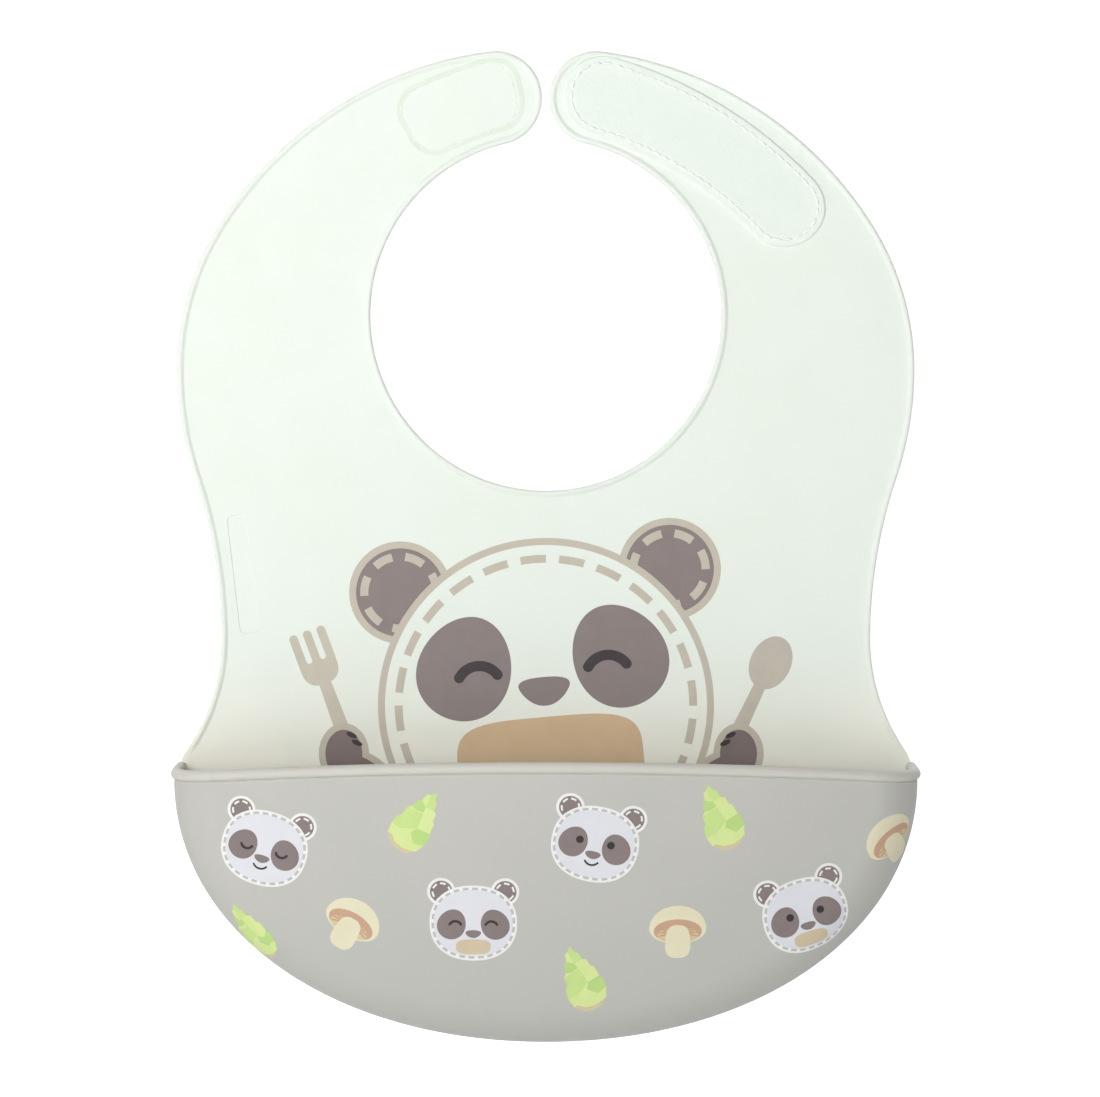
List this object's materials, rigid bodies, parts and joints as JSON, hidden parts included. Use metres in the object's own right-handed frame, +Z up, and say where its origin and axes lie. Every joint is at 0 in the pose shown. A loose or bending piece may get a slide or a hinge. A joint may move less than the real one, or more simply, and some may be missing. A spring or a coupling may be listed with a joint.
{
  "type": "silicone bib",
  "caption": "Baby bib with a round neck opening, straps that close behind the neck with hook and loop patches, and an open catch pocket along the bottom.",
  "frame": {"origin": "centre of the neck opening, halfway through the silicone sheet", "axes": "+Z up as the bib is worn, -Y out of the printed front, +X across the bib to the viewer's right; the neck opening's axis runs along Y"},
  "size_m": [0.2356, 0.044, 0.3119],
  "materials": {
    "cream_silicone": "satin",
    "grey_silicone": "satin",
    "hook_tape": "matte",
    "loop_tape": "matte",
    "sewing_thread": "satin",
    "beige_ink": "matte",
    "taupe_ink": "matte",
    "tan_ink": "matte",
    "dark_ink": "matte",
    "white_ink": "matte",
    "green_ink": "matte",
    "cream_ink": "matte",
    "brown_ink": "matte"
  },
  "bodies": {
    "bib_body": {"bib_panel": "cream_silicone", "catch_pocket": "grey_silicone", "panel_ink_beige": "beige_ink", "panel_ink_taupe": "taupe_ink", "panel_ink_tan": "tan_ink", "panel_ink_dark": "dark_ink", "pocket_ink_white": "white_ink", "pocket_ink_taupe": "taupe_ink", "pocket_ink_green": "green_ink", "pocket_ink_cream": "cream_ink", "pocket_ink_brown": "brown_ink"},
    "left_strap_body": {"left_strap": "cream_silicone", "hook_patch": "hook_tape", "hook_patch_stitching": "sewing_thread"},
    "right_strap_body": {"right_strap": "cream_silicone", "loop_patch": "loop_tape", "loop_patch_stitching": "sewing_thread"}
  },
  "joints": [
    {"name": "left_strap_fold", "type": "hinge", "parent": "bib_body", "child": "left_strap_body", "pos_m": [-0.085, 0, -0.045], "axis": [-0.9659, 0, -0.2588], "range_deg": [-40, 80], "stiffness_Nm_per_rad": 0.04},
    {"name": "right_strap_fold", "type": "hinge", "parent": "bib_body", "child": "right_strap_body", "pos_m": [0.085, 0, -0.045], "axis": [-0.9659, 0, 0.2588], "range_deg": [-25, 93], "stiffness_Nm_per_rad": 0.04}
  ]
}
